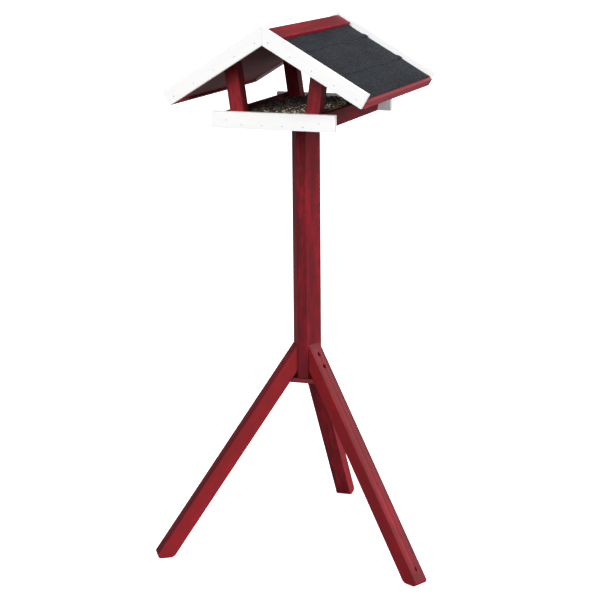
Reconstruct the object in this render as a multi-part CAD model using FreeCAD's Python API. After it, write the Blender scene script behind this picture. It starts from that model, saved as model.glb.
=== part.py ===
import FreeCAD, Part
import math
import os

# A bird table: a gabled feeding house on a six-sided post with three splayed legs.
# The origin is on the ground under the middle of the post. X runs to the right along
# the front gable, Y runs to the back and Z is up. All sizes are in millimetres and degrees.

Vector = FreeCAD.Vector

# Whole house
house_width = 438.6
house_depth = 460.0
house_height = 209.4
roof_slope = 30.8
roof_tilt = 0.9
ridge_offset = -3.6

# Barge boards, the white boards along the gables
barge_thickness = 9.0
barge_height = 33.0
barge_stand_up = 15.7
barge_nail_inset = 21.5
barge_nail_count = 5
barge_nail_start = 29.0
barge_nail_end = 12.0

# Roof panels and the strips along the eaves
panel_thickness = 12.0
strip_thickness = 9.0
strip_height = 16.5
strip_reach = 3.5

# Felt, in three lapped courses
felt_thickness = 2.0
felt_overlap = 12.0
felt_fold = 4.0
felt_on_strip = 2.0
felt_end_gap = 0.5
upper_lap_line = 87.0
lower_lap_line = 177.0

# Ridge cap
cap_thickness = 7.0
cap_width = 37.5

# Uprights
upright_size = 29.0
upright_lean = 8.0

# Tray
tray_depth = 374.0
tray_inside_width = 191.6
tray_board_length = 266.0
tray_board_height = 34.0
tray_board_thickness = 12.0
tray_side_thickness = 12.0
floor_thickness = 9.0
floor_lift = 4.0
floor_nail_spacing = 44.0
floor_nail_count = 4
seed_depth = 16.5
seed_clearance = 0.3

# Post: a triangle with its corners cut off
post_length = 555.0
post_wide_face_distance = 24.2
post_narrow_face_width = 21.1
post_edge_cut = 1.5

# Plates on the two ends of the post
head_plate_size = 100.0
head_plate_corner = 12.0
head_plate_thickness = 9.0
foot_plate_thickness = 9.0

# Legs
leg_angle = 35.0
leg_thickness = 34.0
leg_width = 34.0
leg_edge_cut = 2.0
leg_top_height = 462.0
leg_top_above_post_foot = 74.5
toe_radius = 7.0
heel_radius = 18.0
stand_turn = 4.2
leg_directions = {"leg_right": -30.0, "leg_back": 90.0, "leg_left": 210.0}

# Screws and nails
leg_screw_drop = 20.7
leg_screw_spacing = 23.8
leg_screw_seat = 8.0
leg_screw_radius = 2.25
leg_screw_length = 28.0
leg_screw_head_radius = 3.8
leg_screw_head_height = 2.6
counterbore_radius = 4.2
screw_clearance = 0.25
peg_hole_radius = 3.5
peg_hole_height = 32.4
plate_screw_radius = 1.75
plate_screw_head_radius = 3.5
plate_screw_head_height = 2.2
plate_screw_length = 15.0
plate_screw_inset = 14.0
end_screw_radius = 2.0
end_screw_head_radius = 4.0
end_screw_head_height = 2.4
end_screw_length = 45.0
end_screw_spacing = 20.0
screw_point_sides = 6
nail_size = 1.8
nail_length = 30.0

# Small cut on the edges of the boards
arris = 1.0

# What follows from the sizes above
slope = math.radians(roof_slope)
tilt = math.radians(roof_tilt)
lean = math.radians(upright_lean)
splay = math.radians(leg_angle)
post_foot_height = leg_top_height - leg_top_above_post_foot
post_head_height = post_foot_height + post_length
floor_bottom = post_head_height + head_plate_thickness
floor_top = floor_bottom + floor_thickness
tray_bottom = floor_bottom - floor_lift
tray_rim = tray_bottom + tray_board_height
ridge_height = tray_bottom + house_height
slope_length = house_width / 2.0 / math.cos(slope)
barge_inner = house_depth / 2.0 - barge_thickness
panel_top = barge_stand_up
panel_bottom = panel_top + panel_thickness
strip_outer = slope_length + strip_reach
strip_inner = strip_outer - strip_thickness
tray_inner = tray_depth / 2.0 - tray_board_thickness
seed_top = floor_top + seed_depth
upper_screw_height = leg_top_height - leg_screw_drop
lower_screw_height = upper_screw_height - leg_screw_spacing
leg_screw_heights = [upper_screw_height, lower_screw_height]


def prism(points, reach):
    """A solid with the outline through the points, drawn out along reach."""
    outline = Part.makePolygon(points + points[:1])
    return Part.Face(outline).extrude(reach)


def parallel_edges(shape, direction):
    """The straight edges of a shape that run along a direction."""
    found = []
    for edge in shape.Edges:
        if not isinstance(edge.Curve, Part.Line):
            continue
        tangent = edge.tangentAt(edge.FirstParameter)
        if abs(tangent.dot(direction)) > 0.9999:
            found.append(edge)
    return found


def ease(shape, direction):
    """Takes the sharp arris off the edges that run along a direction."""
    return shape.makeChamfer(arris, parallel_edges(shape, direction))


def side_slope(side):
    """The slope of one side of the roof, which sits a little askew on the house, lower on the left."""
    return slope - side * tilt


def down_slope(along, below, side, y):
    """A point on one roof slope: its way down from the ridge, and its depth below the barge boards' top."""
    angle = side_slope(side)
    x = along * math.cos(angle) - below * math.sin(angle)
    z = ridge_height - along * math.sin(angle) - below * math.cos(angle)
    return Vector(ridge_offset + side * x, y, z)


def at_ridge(below):
    """How far along the slope a plane at this depth meets the middle of the roof."""
    return below * math.tan(slope)


def slope_piece(outline, side, front, back):
    """A piece of the roof from its outline across the slope, between two places along the ridge."""
    points = [down_slope(along, below, side, front) for along, below in outline]
    return prism(points, Vector(0, back - front, 0))


def mitred_board(top, bottom, end, side, front, back):
    """A board that starts at the ridge with a mitre and ends square to the slope."""
    outline = [(at_ridge(top), top), (end, top), (end, bottom), (at_ridge(bottom), bottom)]
    return slope_piece(outline, side, front, back)


def slope_direction(side):
    angle = side_slope(side)
    return Vector(side * math.cos(angle), 0, -math.sin(angle))


def barge_board(side, face):
    """face is -1 for the front gable and 1 for the back one."""
    outer = face * house_depth / 2.0
    board = mitred_board(0, barge_height, slope_length, side, face * barge_inner, outer)
    return ease(board, slope_direction(side))


def roof_panel(side):
    return mitred_board(panel_top, panel_bottom, strip_inner, side, -barge_inner, barge_inner)


def ease_below(shape, side, along):
    """Takes the arris off the edges along the house that lie further down the slope than a line."""
    edges = parallel_edges(shape, Vector(0, 1, 0))
    return shape.makeChamfer(arris, [edge for edge in edges if along_of(edge, side) > along])


def eave_strip(side):
    bottom = panel_top + strip_height
    outline = [(strip_inner, panel_top), (strip_outer, panel_top)]
    outline += [(strip_outer, bottom), (strip_inner, bottom)]
    strip = slope_piece(outline, side, -barge_inner, barge_inner)
    return ease_below(strip, side, (strip_inner + strip_outer) / 2.0)


def along_of(edge, side):
    """How far down the slope an edge lies."""
    from_ridge = edge.CenterOfMass - Vector(ridge_offset, 0, ridge_height)
    return from_ridge.dot(slope_direction(side))


def felt_course(start, end, side, laps_onto_next):
    """One course of felt: flat on the panel, and folded up over the course below where it laps onto it."""
    low = panel_top
    high = low - felt_thickness
    low_start = max(start, at_ridge(low))
    high_start = max(start, at_ridge(high))
    if laps_onto_next:
        fold_end = end - felt_overlap
        fold_start = fold_end - felt_fold
        lapped = high - felt_thickness
        top_side = [(high_start, high), (fold_start, high), (fold_end, lapped), (end, lapped)]
        under_side = [(end, high), (fold_end, high), (fold_end, low), (low_start, low)]
    else:
        top_side = [(high_start, high), (end, high)]
        under_side = [(end, low), (low_start, low)]
    length = barge_inner - felt_end_gap
    return slope_piece(top_side + under_side, side, -length, length)


def upper_felt(side):
    """The top course starts at the ridge, where the two slopes' courses meet in a mitre."""
    return felt_course(0, upper_lap_line, side, True)


def middle_felt(side):
    return felt_course(upper_lap_line - felt_overlap, lower_lap_line, side, True)


def lower_felt(side):
    return felt_course(lower_lap_line - felt_overlap, strip_inner + felt_on_strip, side, False)


def ridge_cap(side):
    bottom = panel_top - felt_thickness
    cap = mitred_board(bottom - cap_thickness, bottom, cap_width, side, -barge_inner, barge_inner)
    return ease_below(cap, side, cap_width / 2.0)


def leaning_x(z):
    """Outer side of the uprights, which is also the inner side of the tray's side boards."""
    return tray_inside_width / 2.0 + (z - tray_rim) * math.tan(lean)


def under_panel(side, offset):
    """Height where a leaning line, this far outside the uprights' outer side, meets the roof panel."""
    angle = side_slope(side)
    at_floor = leaning_x(floor_top) + offset
    at_ground = at_floor - floor_top * math.tan(lean) - side * ridge_offset
    panel_at_ridge = ridge_height - panel_bottom / math.cos(angle)
    climb = 1 + math.tan(lean) * math.tan(angle)
    return (panel_at_ridge - math.tan(angle) * at_ground) / climb


def upright(side, face):
    width = upright_size / math.cos(lean)
    front = face * tray_inner
    outer_top = under_panel(side, 0)
    inner_top = under_panel(side, -width)
    corners = [
        (leaning_x(floor_top), floor_top),
        (leaning_x(outer_top), outer_top),
        (leaning_x(inner_top) - width, inner_top),
        (leaning_x(floor_top) - width, floor_top),
    ]
    points = [Vector(side * x, front, z) for x, z in corners]
    stud = prism(points, Vector(0, -face * upright_size, 0))
    return ease(stud, Vector(side * math.sin(lean), 0, math.cos(lean)))


def tray_board(face):
    outer = face * tray_depth / 2.0
    inner = face * tray_inner
    half = tray_board_length / 2.0
    corners = [(-half, tray_bottom), (half, tray_bottom), (half, tray_rim), (-half, tray_rim)]
    board = prism([Vector(x, inner, z) for x, z in corners], Vector(0, outer - inner, 0))
    return ease(board, Vector(1, 0, 0))


def tray_side(side):
    width = tray_side_thickness / math.cos(lean)
    corners = [
        (leaning_x(tray_bottom), tray_bottom),
        (leaning_x(tray_bottom) + width, tray_bottom),
        (leaning_x(tray_rim) + width, tray_rim),
        (leaning_x(tray_rim), tray_rim),
    ]
    points = [Vector(side * x, -tray_inner, z) for x, z in corners]
    return ease(prism(points, Vector(0, 2 * tray_inner, 0)), Vector(0, 1, 0))


def tray_slab(bottom, top, gap):
    """A slab that fills the tray between its leaning sides, a gap away from them."""
    low = leaning_x(bottom) - gap
    high = leaning_x(top) - gap
    corners = [(-low, bottom), (low, bottom), (high, top), (-high, top)]
    points = [Vector(x, -tray_inner + gap, z) for x, z in corners]
    return prism(points, Vector(0, 2 * (tray_inner - gap), 0))


def seed_fill():
    """The bed of seed, cut back round the feet of the uprights."""
    bed = tray_slab(floor_top, seed_top, seed_clearance)
    width = upright_size / math.cos(lean) + seed_clearance
    for side in (-1, 1):
        low = leaning_x(floor_top) - width
        high = leaning_x(seed_top) - width
        corners = [(low, floor_top), (house_width, floor_top), (house_width, seed_top), (high, seed_top)]
        for face in (-1, 1):
            points = [Vector(side * x, face * tray_depth, z) for x, z in corners]
            depth = tray_depth - tray_inner + upright_size + seed_clearance
            bed = bed.cut(prism(points, Vector(0, -face * depth, 0)))
    return bed


def six_sided(wide_distance, narrow_width, z):
    """Corners of a triangle with its corners cut off, going round from the right-hand wide face."""
    wide_width = 2 * (math.sqrt(3) * wide_distance - narrow_width)
    corners = []
    for direction in leg_directions.values():
        turn = math.radians(direction + stand_turn)
        for half in (-wide_width / 2.0, wide_width / 2.0):
            x = wide_distance * math.cos(turn) - half * math.sin(turn)
            y = wide_distance * math.sin(turn) + half * math.cos(turn)
            corners.append(Vector(x, y, z))
    return corners


def post():
    corners = six_sided(post_wide_face_distance, post_narrow_face_width, post_foot_height)
    blank = prism(corners, Vector(0, 0, post_length))
    return blank.makeChamfer(post_edge_cut, parallel_edges(blank, Vector(0, 0, 1)))


def leg_inner_distance(z):
    """Distance of a leg's inner side from the post's axis at a height."""
    outer = post_wide_face_distance + (leg_top_height - z) * math.tan(splay)
    return outer - leg_thickness / math.cos(splay)


def foot_plate():
    """Fills the space between the legs under the post, with its edges bevelled to the legs."""
    wires = []
    for z in (post_foot_height - foot_plate_thickness, post_foot_height):
        distance = leg_inner_distance(z)
        narrow_width = math.sqrt(3) * distance - leg_width / 2.0
        corners = six_sided(distance, narrow_width, z)
        wires.append(Part.makePolygon(corners + corners[:1]))
    return Part.makeLoft(wires, True, True)


def head_plate():
    half = head_plate_size / 2.0
    short = half - head_plate_corner
    outline = [(half, short), (short, half), (-short, half), (-half, short)]
    outline += [(-x, -y) for x, y in outline]
    points = [Vector(x, y, post_head_height) for x, y in outline]
    return prism(points, Vector(0, 0, head_plate_thickness))


def edges_at(shape, x):
    """The edges across a leg at a distance from the post's axis."""
    edges = parallel_edges(shape, Vector(0, 1, 0))
    return [edge for edge in edges if abs(edge.CenterOfMass.x - x) < arris]


def leg_blank():
    """A leg that points along X, its upper end cut to lie on the post and its foot flat on the ground."""
    post_face = post_wide_face_distance
    toe = post_face + leg_top_height * math.tan(splay)
    heel = toe - leg_thickness / math.cos(splay)
    crotch = leg_top_height - leg_thickness / math.sin(splay)
    corners = [(post_face, leg_top_height), (toe, 0), (heel, 0), (post_face, crotch)]
    points = [Vector(x, -leg_width / 2.0, z) for x, z in corners]
    blank = prism(points, Vector(0, leg_width, 0))
    blank = blank.makeFillet(toe_radius, edges_at(blank, toe))
    blank = blank.makeFillet(heel_radius, edges_at(blank, heel))
    along_leg = Vector(math.sin(splay), 0, -math.cos(splay))
    return blank.makeChamfer(leg_edge_cut, parallel_edges(blank, along_leg))


def bored_leg():
    """The leg with its sunk screw holes, bored level, and its upright hole for a ground peg."""
    leg = leg_blank()
    post_face = post_wide_face_distance
    outward = Vector(1, 0, 0)
    for z in leg_screw_heights:
        start = Vector(post_face, 0, z)
        seat = Vector(post_face + leg_screw_seat, 0, z)
        hole = Part.makeCylinder(leg_screw_radius + screw_clearance, leg_screw_seat, start, outward)
        sink = Part.makeCylinder(counterbore_radius, leg_top_height, seat, outward)
        leg = leg.cut(hole).cut(sink)
    peg = Vector(peg_circle_radius(), 0, -leg_width)
    return leg.cut(Part.makeCylinder(peg_hole_radius, leg_top_height / 2.0, peg, Vector(0, 0, 1)))


def peg_circle_radius():
    """The peg holes' mouths are in the outer side of the legs, at the given height."""
    return post_wide_face_distance + (leg_top_height - peg_hole_height) * math.tan(splay)


def turned(shape, direction):
    """A copy of a shape made along X, turned about the post's axis to a leg's direction."""
    copy = shape.copy()
    copy.rotate(Vector(0, 0, 0), Vector(0, 0, 1), direction + stand_turn)
    return copy


def shank(radius, length):
    """A screw's round shank along +Z from the origin, with a point cut on it in flat faces."""
    point_length = 2 * radius
    start = length - point_length
    corners = []
    for step in range(screw_point_sides):
        turn = 2 * math.pi * step / screw_point_sides
        corners.append(Vector(radius * math.cos(turn), radius * math.sin(turn), start))
    base = Part.makePolygon(corners + corners[:1])
    point = Part.makeLoft([base, Part.Vertex(0, 0, length)], True, True)
    return Part.makeCylinder(radius, start).fuse(point)


def screw(radius, head_radius, head_height, length):
    """A screw along +Z with the seat of its flat-topped head at the origin."""
    head = Part.makeCylinder(head_radius, head_height, Vector(0, 0, -head_height))
    return head.fuse(shank(radius, length))


def placed(shape, place, direction):
    """A copy of a shape made along +Z, moved to a place and pointed along a direction."""
    copy = shape.copy()
    copy.Placement = FreeCAD.Placement(place, FreeCAD.Rotation(Vector(0, 0, 1), direction))
    return copy


def leg_screws():
    """Two level screws through each leg into the wide face of the post behind it."""
    fastener = screw(leg_screw_radius, leg_screw_head_radius, leg_screw_head_height, leg_screw_length)
    screws = []
    for direction in leg_directions.values():
        for z in leg_screw_heights:
            seat = Vector(post_wide_face_distance + leg_screw_seat, 0, z)
            screws.append(turned(placed(fastener, seat, Vector(-1, 0, 0)), direction))
    return screws


def head_plate_screws():
    """Four screws up through the head plate, near its edges, into the tray floor."""
    head_height = plate_screw_head_height
    fastener = screw(plate_screw_radius, plate_screw_head_radius, head_height, plate_screw_length)
    reach = head_plate_size / 2.0 - plate_screw_inset
    places = [(reach, 0), (0, reach), (-reach, 0), (0, -reach)]
    return [placed(fastener, Vector(x, y, post_head_height), Vector(0, 0, 1)) for x, y in places]


def post_end_screws():
    """One screw up into the foot of the post, and two sunk flush in the head plate into its head."""
    fastener = screw(end_screw_radius, end_screw_head_radius, end_screw_head_height, end_screw_length)
    foot = Vector(0, 0, post_foot_height - foot_plate_thickness)
    seat = floor_bottom - end_screw_head_height
    screws = [placed(fastener, foot, Vector(0, 0, 1))]
    for x in (-end_screw_spacing / 2.0, end_screw_spacing / 2.0):
        screws.append(placed(fastener, Vector(x, 0, seat), Vector(0, 0, -1)))
    return screws


def nail(place, direction):
    """A square nail without a head, driven flush with the wood."""
    corner = Vector(-nail_size / 2.0, -nail_size / 2.0, 0)
    return placed(Part.makeBox(nail_size, nail_size, nail_length, corner), place, direction)


def barge_board_nails():
    """Nails in a row along each barge board, into the ends of the roof panel."""
    nails = []
    first = barge_nail_start
    step = (strip_inner - barge_nail_end - first) / (barge_nail_count - 1)
    for face in (-1, 1):
        for side in (-1, 1):
            for count in range(barge_nail_count):
                place = down_slope(first + count * step, barge_nail_inset, side, face * house_depth / 2.0)
                nails.append(nail(place, Vector(0, -face, 0)))
    return nails


def roof_nails():
    """One nail through the roof panel into the top of each upright, under the felt."""
    nails = []
    for side in (-1, 1):
        for face in (-1, 1):
            width = upright_size / math.cos(lean)
            top = under_panel(side, -width / 2.0)
            x = leaning_x(top) - width / 2.0
            y = face * (tray_inner - upright_size / 2.0)
            angle = side_slope(side)
            inward = Vector(-side * math.sin(angle), 0, -math.cos(angle))
            start = Vector(side * x, y, top) - inward * panel_thickness
            nails.append(nail(start, inward))
    return nails


def tray_nails():
    """Nails through the white tray boards into the side boards and the floor."""
    nails = []
    middle = (floor_bottom + floor_top) / 2.0
    board_middle = (tray_bottom + tray_rim) / 2.0
    side_x = leaning_x(board_middle) + tray_side_thickness / 2.0 / math.cos(lean)
    for face in (-1, 1):
        outer = face * tray_depth / 2.0
        for side in (-1, 1):
            nails.append(nail(Vector(side * side_x, outer, board_middle), Vector(0, -face, 0)))
        for count in range(floor_nail_count):
            x = (count - (floor_nail_count - 1) / 2.0) * floor_nail_spacing
            nails.append(nail(Vector(x, outer, middle), Vector(0, -face, 0)))
    return nails


def bored(shape, fasteners):
    """A piece with a hole for each fastener that goes into it."""
    for fastener in fasteners:
        if shape.BoundBox.intersect(fastener.BoundBox):
            shape = shape.cut(fastener)
    return shape


os.makedirs("parts", exist_ok=True)

sides = {"left": -1, "right": 1}
faces = {"front": -1, "back": 1}
leg_fasteners = leg_screws()
plate_fasteners = head_plate_screws()
end_fasteners = post_end_screws()
barge_nails = barge_board_nails()
panel_nails = roof_nails()
board_nails = tray_nails()
pieces = {}

for side_name, side in sides.items():
    pieces["roof_panel_" + side_name] = bored(roof_panel(side), barge_nails + panel_nails)
    pieces["felt_upper_" + side_name] = upper_felt(side)
    pieces["felt_middle_" + side_name] = middle_felt(side)
    pieces["felt_lower_" + side_name] = lower_felt(side)
    pieces["ridge_cap_" + side_name] = ridge_cap(side)
    pieces["eave_strip_" + side_name] = eave_strip(side)
    pieces["tray_side_" + side_name] = bored(tray_side(side), board_nails)
    for face_name, face in faces.items():
        place = face_name + "_" + side_name
        pieces["barge_board_" + place] = bored(barge_board(side, face), barge_nails)
        pieces["upright_" + place] = bored(upright(side, face), panel_nails)

for face_name, face in faces.items():
    pieces["tray_board_" + face_name] = bored(tray_board(face), board_nails)

pieces["tray_floor"] = bored(tray_slab(floor_bottom, floor_top, 0), board_nails + plate_fasteners)
pieces["seed_fill"] = seed_fill()
pieces["head_plate"] = bored(head_plate(), plate_fasteners + end_fasteners)
pieces["post"] = bored(post(), leg_fasteners + end_fasteners)
pieces["foot_plate"] = bored(foot_plate(), end_fasteners)

one_leg = bored_leg()
for leg_name, direction in leg_directions.items():
    pieces[leg_name] = turned(one_leg, direction)

pieces["leg_screws"] = Part.makeCompound(leg_fasteners)
pieces["head_plate_screws"] = Part.makeCompound(plate_fasteners)
pieces["post_end_screws"] = Part.makeCompound(end_fasteners)
pieces["barge_board_nails"] = Part.makeCompound(barge_nails)
pieces["roof_nails"] = Part.makeCompound(panel_nails)
pieces["tray_nails"] = Part.makeCompound(board_nails)

for name, shape in pieces.items():
    shape.exportStep("parts/" + name + ".step")
    print(name, "solids", len(shape.Solids), "volume", round(shape.Volume), "valid", shape.isValid())
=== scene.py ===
# %% [markdown]
# # A bird table in red and white
#
# The real thing is a small gabled house on a six-sided post with three splayed legs. Its wood
# is finished in a dark red glaze that lets the grain show, its gables and the ends of its tray
# are painted white, and its roof is covered with mineral felt. This lesson rebuilds it in
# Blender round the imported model, which says where every piece goes. All lengths are in metres,
# X runs to the right along the front gable, Y runs to the back, and Z is up from the ground.

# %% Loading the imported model
import math
import random
import bpy
from mathutils import Matrix, Vector


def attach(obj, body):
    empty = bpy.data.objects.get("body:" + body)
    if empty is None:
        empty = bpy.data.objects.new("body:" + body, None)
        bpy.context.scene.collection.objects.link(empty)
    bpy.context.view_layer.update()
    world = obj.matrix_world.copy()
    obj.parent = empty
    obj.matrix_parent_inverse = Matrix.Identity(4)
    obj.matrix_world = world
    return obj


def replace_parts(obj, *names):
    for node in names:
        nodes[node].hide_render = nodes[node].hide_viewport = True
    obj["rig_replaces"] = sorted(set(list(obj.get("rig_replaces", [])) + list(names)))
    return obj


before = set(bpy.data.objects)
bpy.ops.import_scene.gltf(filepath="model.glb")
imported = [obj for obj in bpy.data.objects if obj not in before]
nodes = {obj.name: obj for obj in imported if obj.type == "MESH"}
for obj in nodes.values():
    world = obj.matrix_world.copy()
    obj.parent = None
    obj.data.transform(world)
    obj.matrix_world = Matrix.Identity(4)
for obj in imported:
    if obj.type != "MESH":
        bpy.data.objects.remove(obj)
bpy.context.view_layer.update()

# %% [markdown]
# ## Where the camera stands
#
# The photograph looks at the table from the front right and a little above. The camera is
# made first, so that every later step can be held against the photograph. It is turned about
# the vertical, then tipped down, then rolled by half a degree, and three turns that are
# multiplied in that order say so more clearly than one set of angles.

# %% The camera
def make_camera(place, heading, pitch, roll):
    """A camera that looks along +Y before it is turned to its heading and tipped down."""
    lens = bpy.data.cameras.new("camera")
    lens.sensor_width = 36.0
    lens.lens = 97.92
    lens.shift_x = 0.0089
    lens.shift_y = 0.0006
    camera = bpy.data.objects.new("camera", lens)
    bpy.context.scene.collection.objects.link(camera)
    turn = Matrix.Rotation(-heading, 4, "Z")
    tip = Matrix.Rotation(math.pi / 2 - pitch, 4, "X")
    camera.matrix_world = Matrix.Translation(place) @ turn @ tip @ Matrix.Rotation(roll, 4, "Z")
    bpy.context.scene.camera = camera
    return camera


camera = make_camera((1.2049, -3.2027, 1.3889), heading=math.radians(-21.04),
                     pitch=math.radians(13.70), roll=math.radians(-0.545))
print("The camera stands", round(camera.location.length, 2), "m from the origin")

# %% [markdown]
# ## The sizes of the table
#
# These are the real table's sizes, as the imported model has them. The ones that several pieces
# share are written once here, and each piece takes its own place from them. Depths in the
# roof, such as panel_top, are counted from the top of the gable boards.

# %% Sizes
mm = 0.001
slope = math.radians(30.8)
tilt = math.radians(0.9)
lean = math.radians(8.0)
splay = math.radians(35.0)
stand_turn = math.radians(4.2)
half_depth = 230.0 * mm
ridge_height = 1156.9 * mm
ridge_offset = -3.6 * mm
slope_length = 219.3 * mm / math.cos(slope)
barge_thickness = 9.0 * mm
barge_height = 33.0 * mm
barge_inner = half_depth - barge_thickness
panel_top = 15.7 * mm
panel_thickness = 12.0 * mm
panel_bottom = panel_top + panel_thickness
strip_thickness = 9.0 * mm
strip_height = 16.5 * mm
strip_outer = slope_length + 3.5 * mm
strip_inner = strip_outer - strip_thickness
cap_width = 37.5 * mm
cap_thickness = 7.0 * mm
felt_thickness = 2.0 * mm
upright_size = 29.0 * mm
tray_bottom = 947.5 * mm
tray_rim = 981.5 * mm
floor_bottom = 951.5 * mm
floor_top = 960.5 * mm
half_tray = 187.0 * mm
tray_inner = half_tray - 12.0 * mm
tray_half_width = 95.8 * mm
side_thickness = 12.0 * mm
half_board = 133.0 * mm
post_foot = 387.5 * mm
post_head = 942.5 * mm
post_face = 24.2 * mm
narrow_face = 21.1 * mm
leg_top = 462.0 * mm
leg_size = 34.0 * mm
sides = {"left": -1, "right": 1}
faces = {"front": -1, "back": 1}
leg_directions = {"right": -30.0, "back": 90.0, "left": 210.0}
chance = random.Random(7)
print("Each roof slope is", round(slope_length, 4), "m long")

# %% [markdown]
# ## Starting a piece
#
# Nearly every piece starts as a primitive at its size and place: a block for a board, a bar
# with many sides for a nail or with three for the post. An operator acts on all that is
# selected, so everything is deselected first. The primitive's place, turn and size are then
# applied, which leaves them in the mesh and the object itself at the origin.

# %% Blocks and bars
def only(piece):
    """Selects one piece and makes it the active one."""
    bpy.ops.object.select_all(action="DESELECT")
    piece.select_set(True)
    bpy.context.view_layer.objects.active = piece


def named(name):
    """Gives the active object its name, and leaves its place in its mesh."""
    piece = bpy.context.object
    piece.name = name
    piece.data.name = name
    bpy.ops.object.transform_apply(location=True, rotation=True, scale=True)
    return piece


def primitive(name, add, **settings):
    """Adds a primitive with nothing else selected."""
    bpy.ops.object.select_all(action="DESELECT")
    add(**settings)
    return named(name)


def block(name, middle, size, turn=0.0):
    """A block of wood at its size and place, turned about Y."""
    return primitive(name, bpy.ops.mesh.primitive_cube_add, size=1, location=middle,
                     rotation=(0, turn, 0), scale=size)


def bar(name, corners, radius, length, middle, turn=(0, 0, 0)):
    """A bar that stands on end, with a number of corners round it."""
    return primitive(name, bpy.ops.mesh.primitive_cylinder_add, vertices=corners,
                     radius=radius, depth=length, location=middle, rotation=turn)


print("The bench can cut blocks and bars to size")

# %% [markdown]
# ## Sawing and smoothing
#
# A board's ends are sawn and its arrises are rounded. The cuts could be made with a second
# solid and Boolean, but a saw cuts along a plane, and so does Bisect in edit mode, which also
# closes the cut with a new face. A Bevel modifier rounds the arrises, and Weighted Normal
# keeps the flat faces flat in the light.

# %% Saw and plane
def saw(piece, point, normal):
    """Cuts away what lies beyond a plane, on the side its normal points to."""
    only(piece)
    bpy.ops.object.mode_set(mode="EDIT")
    bpy.ops.mesh.select_all(action="SELECT")
    bpy.ops.mesh.bisect(plane_co=point, plane_no=normal, use_fill=True, clear_outer=True)
    bpy.ops.object.mode_set(mode="OBJECT")


def finish_with(piece, kind, **settings):
    """Adds a modifier and applies it."""
    modifier = piece.modifiers.new(kind.lower(), kind)
    for setting, value in settings.items():
        setattr(modifier, setting, value)
    only(piece)
    bpy.ops.object.modifier_apply(modifier=modifier.name)


def smooth(piece):
    """Shades the rounds smooth and leaves the sharp edges sharp."""
    only(piece)
    bpy.ops.object.shade_smooth_by_angle(angle=math.radians(40))
    finish_with(piece, "WEIGHTED_NORMAL", keep_sharp=True, weight=60)


def soften(piece, radius, steps=3):
    """Rounds the arrises, and shades the flat faces flat and the rounds smooth."""
    finish_with(piece, "BEVEL", width=radius, segments=steps, limit_method="ANGLE",
                angle_limit=math.radians(25))
    smooth(piece)


print("The bench has a saw and a plane for arrises")

# %% [markdown]
# ## Which way the grain runs
#
# Solid wood shows the same growth rings on all its sides, as long lines on its faces and as
# arcs on its ends. A flat picture can't do that, but a pattern in space can, if each board
# knows where it lay in the tree. So each point of a board is given a vector called grain:
# how far it lies along the board, across it, and through it. A different start for each
# board keeps two boards from looking alike. A second value, arris, tells the finish where
# the corners are, because glaze and paint are thinner there. A third value is the same all
# over a board: above 0 the board is paler and pinker, and below 0 darker. It carries painted
# light and shade: a pink painted sheen on the eave strips, a little painted light on the ridge
# cap and the front uprights, and painted shade on the tray's sides and the foot plate. On the
# post and the legs it only makes the whole piece darker.

# %% Laying the grain
def lay_grain(piece, along, across, tone_and_painted_light=0.0):
    """Stores where each point lies in its wood, how near to a corner, and how far its whole board is
    painted paler or darker.
    """
    along = Vector(along).normalized()
    across = Vector(across).normalized()
    axes = Matrix((along, across, along.cross(across)))
    down_tree = chance.uniform(0, 9)
    tree = Vector((down_tree, chance.uniform(-0.03, 0.03), chance.uniform(0.03, 0.07)))
    points = piece.data.vertices
    middle = sum((point.co for point in points), Vector()) / len(points)
    grains = [part for point in points for part in axes @ (point.co - middle) + tree]
    corners = [1 - max(abs(part) for part in axes @ point.normal) for point in points]
    store = piece.data.attributes
    store.new("grain", "FLOAT_VECTOR", "POINT").data.foreach_set("vector", grains)
    store.new("arris", "FLOAT", "POINT").data.foreach_set("value", corners)
    store.new("tone_and_painted_light", "FLOAT", "POINT").data.foreach_set("value", [tone_and_painted_light] * len(points))


print("Grain follows each board")

# %% [markdown]
# ## Writing materials as sums
#
# A material is a graph of nodes. Wiring one by hand takes many lines, so small classes do it.
# Number wraps a socket, and an expression on it adds the Math nodes, so a pattern reads like
# the sum that it is.

# %% Numbers
class Number:
    """A socket that carries a number."""

    def __init__(self, graph, socket):
        self.graph = graph
        self.socket = socket

    def sum(self, operation, first, second):
        made = self.graph.node("ShaderNodeMath", {"operation": operation}, {0: first, 1: second})
        return Number(self.graph, made.outputs[0])

    def __add__(self, other):
        return self.sum("ADD", self, other)

    def __radd__(self, other):
        return self.sum("ADD", other, self)

    def __sub__(self, other):
        return self.sum("SUBTRACT", self, other)

    def __rsub__(self, other):
        return self.sum("SUBTRACT", other, self)

    def __mul__(self, other):
        return self.sum("MULTIPLY", self, other)

    def __rmul__(self, other):
        return self.sum("MULTIPLY", other, self)

    def __pow__(self, other):
        return self.sum("POWER", self, other)

    def __rpow__(self, other):
        return self.sum("POWER", other, self)

    def most(self, other):
        return self.sum("MAXIMUM", self, other)

    def above(self, low, high):
        """Rises smoothly from 0 at low to 1 at high."""
        settings = {"interpolation_type": "SMOOTHSTEP"}
        made = self.graph.node("ShaderNodeMapRange", settings, {0: self, 1: low, 2: high})
        return Number(self.graph, made.outputs[0])

    def wave(self):
        """The sine of a number, brought between 0 and 1."""
        made = self.graph.node("ShaderNodeMath", {"operation": "SINE"}, {0: self})
        return Number(self.graph, made.outputs[0]) * 0.5 + 0.5


print("Sums on sockets become Math nodes")

# %% [markdown]
# ## Adding any other node
#
# Graph holds a tree of nodes and adds one node at a time, with its settings made first and
# its sockets filled after. A method for each kind of node that is used often keeps the
# recipes below short. Colours go through Mix, because a Math node would turn them grey.

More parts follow.
